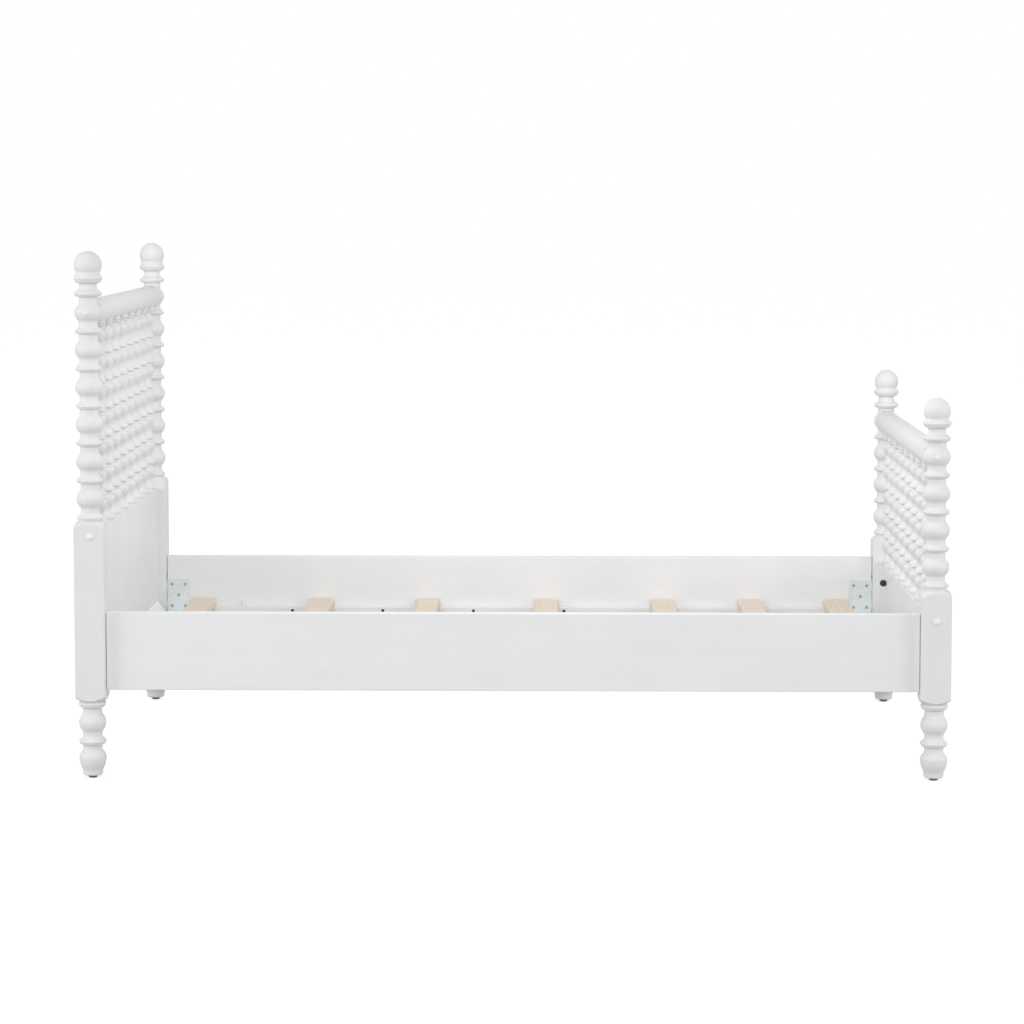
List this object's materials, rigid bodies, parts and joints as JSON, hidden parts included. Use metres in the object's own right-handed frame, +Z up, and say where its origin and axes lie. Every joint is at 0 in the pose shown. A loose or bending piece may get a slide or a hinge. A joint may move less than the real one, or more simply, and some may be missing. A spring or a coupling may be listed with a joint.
{
  "type": "spindle bed",
  "caption": "Spindle bed for a twin mattress: ball-topped turned posts, spindle headboard and lower footboard, side rails with cleats, loose wooden slats, painted white",
  "frame": {"origin": "On the floor under the middle of the bed, at the bottom centre of its box.", "axes": "+X runs along the bed from the headboard to the footboard, +Y across it to the right as seen from the foot, +Z up."},
  "size_m": [2.045, 1.115, 1.2384],
  "materials": {
    "painted_wood": "satin white paint over turned and planed hardwood",
    "bare_wood": "planed pale softwood, unfinished",
    "plated_steel": "zinc-plated pressed steel",
    "dark_steel": "black-oxide wood screws",
    "cap_plastic": "white moulded plastic",
    "glide_plastic": "grey-brown moulded plastic over a steel stem",
    "black_rubber": "moulded black rubber"
  },
  "bodies": {
    "frame": {"head_post_left": "painted_wood", "head_post_right": "painted_wood", "foot_post_left": "painted_wood", "foot_post_right": "painted_wood", "head_top_rail": "painted_wood", "head_panel": "painted_wood", "head_spindle_1": "painted_wood", "head_spindle_2": "painted_wood", "head_spindle_3": "painted_wood", "head_spindle_4": "painted_wood", "head_spindle_5": "painted_wood", "head_spindle_6": "painted_wood", "head_spindle_7": "painted_wood", "head_spindle_8": "painted_wood", "foot_top_rail": "painted_wood", "foot_panel": "painted_wood", "foot_spindle_1": "painted_wood", "foot_spindle_2": "painted_wood", "foot_spindle_3": "painted_wood", "foot_spindle_4": "painted_wood", "foot_spindle_5": "painted_wood", "foot_spindle_6": "painted_wood", "foot_spindle_7": "painted_wood", "foot_spindle_8": "painted_wood", "side_rail_left": "painted_wood", "slat_cleat_left": "painted_wood", "cleat_screws_left": "dark_steel", "side_rail_right": "painted_wood", "slat_cleat_right": "painted_wood", "cleat_screws_right": "dark_steel", "hook_plate_head_left": "plated_steel", "keeper_head_left": "plated_steel", "hook_plate_head_right": "plated_steel", "keeper_head_right": "plated_steel", "hook_plate_foot_left": "plated_steel", "keeper_foot_left": "plated_steel", "hook_plate_foot_right": "plated_steel", "keeper_foot_right": "plated_steel", "hook_plate_screws": "plated_steel", "keeper_screws": "plated_steel", "glide_inserts": "plated_steel", "head_batten": "painted_wood", "bolt_caps": "cap_plastic", "frame_bolts": "plated_steel", "barrel_nuts": "plated_steel", "panel_buffers": "black_rubber", "cleat_pegs": "painted_wood"},
    "glide_head_left": {"glide_head_left": "glide_plastic"},
    "glide_head_right": {"glide_head_right": "glide_plastic"},
    "glide_foot_left": {"glide_foot_left": "glide_plastic"},
    "glide_foot_right": {"glide_foot_right": "glide_plastic"},
    "slat_1": {"slat_1": "bare_wood"},
    "slat_2": {"slat_2": "bare_wood"},
    "slat_3": {"slat_3": "bare_wood"},
    "slat_4": {"slat_4": "bare_wood"},
    "slat_5": {"slat_5": "bare_wood"},
    "slat_6": {"slat_6": "bare_wood"},
    "slat_7": {"slat_7": "bare_wood"}
  },
  "joints": [
    {"name": "glide_head_left_screw_out", "type": "slide", "parent": "frame", "child": "glide_head_left", "axis": [0, 0, -1], "range_m": [0, 0.01]},
    {"name": "glide_head_right_screw_out", "type": "slide", "parent": "frame", "child": "glide_head_right", "axis": [0, 0, -1], "range_m": [0, 0.01]},
    {"name": "glide_foot_left_screw_out", "type": "slide", "parent": "frame", "child": "glide_foot_left", "axis": [0, 0, -1], "range_m": [0, 0.01]},
    {"name": "glide_foot_right_screw_out", "type": "slide", "parent": "frame", "child": "glide_foot_right", "axis": [0, 0, -1], "range_m": [0, 0.01]},
    {"name": "slat_1_lift_out", "type": "slide", "parent": "frame", "child": "slat_1", "axis": [0, 0, 1], "range_m": [0, 0.15]},
    {"name": "slat_2_lift_out", "type": "slide", "parent": "frame", "child": "slat_2", "axis": [0, 0, 1], "range_m": [0, 0.15]},
    {"name": "slat_3_lift_out", "type": "slide", "parent": "frame", "child": "slat_3", "axis": [0, 0, 1], "range_m": [0, 0.15]},
    {"name": "slat_4_lift_out", "type": "slide", "parent": "frame", "child": "slat_4", "axis": [0, 0, 1], "range_m": [0, 0.15]},
    {"name": "slat_5_lift_out", "type": "slide", "parent": "frame", "child": "slat_5", "axis": [0, 0, 1], "range_m": [0, 0.15]},
    {"name": "slat_6_lift_out", "type": "slide", "parent": "frame", "child": "slat_6", "axis": [0, 0, 1], "range_m": [0, 0.15]},
    {"name": "slat_7_lift_out", "type": "slide", "parent": "frame", "child": "slat_7", "axis": [0, 0, 1], "range_m": [0, 0.15]}
  ]
}
